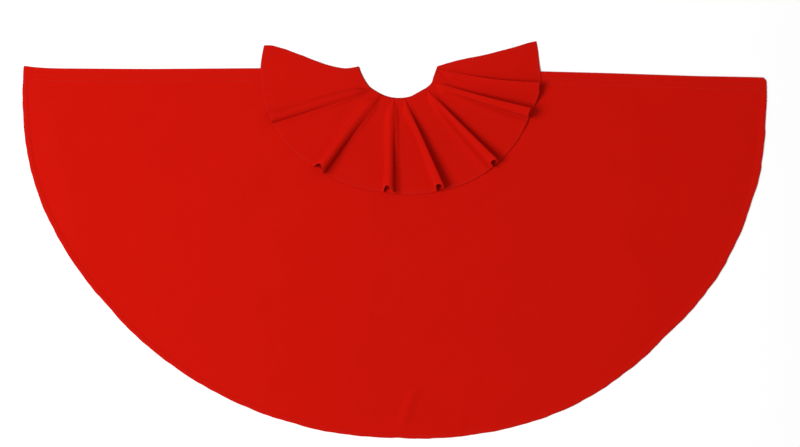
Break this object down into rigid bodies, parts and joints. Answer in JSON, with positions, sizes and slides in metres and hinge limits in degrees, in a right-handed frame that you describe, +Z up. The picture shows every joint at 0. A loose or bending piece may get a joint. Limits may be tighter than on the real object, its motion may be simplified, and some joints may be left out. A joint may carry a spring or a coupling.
{
  "type": "half-circle cape",
  "caption": "Half-circle cloth cape laid open flat, with turned hems and a fluted collar that lifts about the seam round its neckline.",
  "frame": {"origin": "middle of the underside of the cape laid open, which rests on the surface", "axes": "+X along the straight front edges towards the wearer's left-hand front as laid, +Y from the curved hem towards the neckline, +Z up off the cloth, on the side where the collar lies"},
  "size_m": [1.492, 0.7926, 0.0265],
  "materials": {
    "cape_cloth": "matt plain-weave cloth, bright red",
    "collar_cloth": "the same matt red cloth, in flutes",
    "thread": "red sewing thread with a slight sheen"
  },
  "bodies": {
    "cape": {"cape_panel": "cape_cloth", "front_hem_left": "cape_cloth", "front_hem_right": "cape_cloth", "curved_hem": "cape_cloth", "neck_facing": "cape_cloth", "front_hem_stitching_left": "thread", "front_hem_stitching_right": "thread", "curved_hem_stitching": "thread", "neck_stitching": "thread"},
    "collar_segment_1": {"collar_gore_1": "collar_cloth", "collar_hem_1": "collar_cloth", "collar_stitching_1": "thread", "collar_flute_1": "collar_cloth", "collar_end_hem_left": "collar_cloth"},
    "collar_segment_2": {"collar_gore_2": "collar_cloth", "collar_hem_2": "collar_cloth", "collar_stitching_2": "thread", "collar_flute_2": "collar_cloth"},
    "collar_segment_3": {"collar_gore_3": "collar_cloth", "collar_hem_3": "collar_cloth", "collar_stitching_3": "thread", "collar_flute_3": "collar_cloth"},
    "collar_segment_4": {"collar_gore_4": "collar_cloth", "collar_hem_4": "collar_cloth", "collar_stitching_4": "thread", "collar_flute_4": "collar_cloth"},
    "collar_segment_5": {"collar_gore_5": "collar_cloth", "collar_hem_5": "collar_cloth", "collar_stitching_5": "thread", "collar_flute_5": "collar_cloth"},
    "collar_segment_6": {"collar_gore_6": "collar_cloth", "collar_hem_6": "collar_cloth", "collar_stitching_6": "thread", "collar_flute_6": "collar_cloth"},
    "collar_segment_7": {"collar_gore_7": "collar_cloth", "collar_hem_7": "collar_cloth", "collar_stitching_7": "thread", "collar_flute_7": "collar_cloth", "collar_gore_8": "collar_cloth", "collar_hem_8": "collar_cloth", "collar_stitching_8": "thread", "collar_end_hem_right": "collar_cloth"}
  },
  "joints": [
    {"name": "collar_lift_1", "type": "hinge", "parent": "cape", "child": "collar_segment_1", "pos_m": [-0.06512, 0.34334, 0.0022], "axis": [-0.2756, 0.9613, 0], "range_deg": [0, 35]},
    {"name": "collar_lift_2", "type": "hinge", "parent": "cape", "child": "collar_segment_2", "pos_m": [-0.05068, 0.31617, 0.0022], "axis": [-0.6428, 0.766, 0], "range_deg": [0, 35]},
    {"name": "collar_lift_3", "type": "hinge", "parent": "cape", "child": "collar_segment_3", "pos_m": [-0.01808, 0.29377, 0.0022], "axis": [-0.9455, 0.3256, 0], "range_deg": [0, 35]},
    {"name": "collar_lift_4", "type": "hinge", "parent": "cape", "child": "collar_segment_4", "pos_m": [0.01503, 0.29029, 0.0022], "axis": [-0.9925, -0.1219, 0], "range_deg": [0, 35]},
    {"name": "collar_lift_5", "type": "hinge", "parent": "cape", "child": "collar_segment_5", "pos_m": [0.04188, 0.29901, 0.0022], "axis": [-0.8746, -0.4848, 0], "range_deg": [0, 35]},
    {"name": "collar_lift_6", "type": "hinge", "parent": "cape", "child": "collar_segment_6", "pos_m": [0.06736, 0.32236, 0.0022], "axis": [-0.5592, -0.829, 0], "range_deg": [0, 35]},
    {"name": "collar_lift_7", "type": "hinge", "parent": "cape", "child": "collar_segment_7", "pos_m": [0.07865, 0.34962, 0.0022], "axis": [-0.1908, -0.9816, 0], "range_deg": [0, 35]}
  ],
  "couplings": [
    {"joint": "collar_lift_1", "follows": "collar_lift_4", "ratio": 1},
    {"joint": "collar_lift_2", "follows": "collar_lift_4", "ratio": 1},
    {"joint": "collar_lift_3", "follows": "collar_lift_4", "ratio": 1},
    {"joint": "collar_lift_5", "follows": "collar_lift_4", "ratio": 1},
    {"joint": "collar_lift_6", "follows": "collar_lift_4", "ratio": 1},
    {"joint": "collar_lift_7", "follows": "collar_lift_4", "ratio": 1}
  ]
}
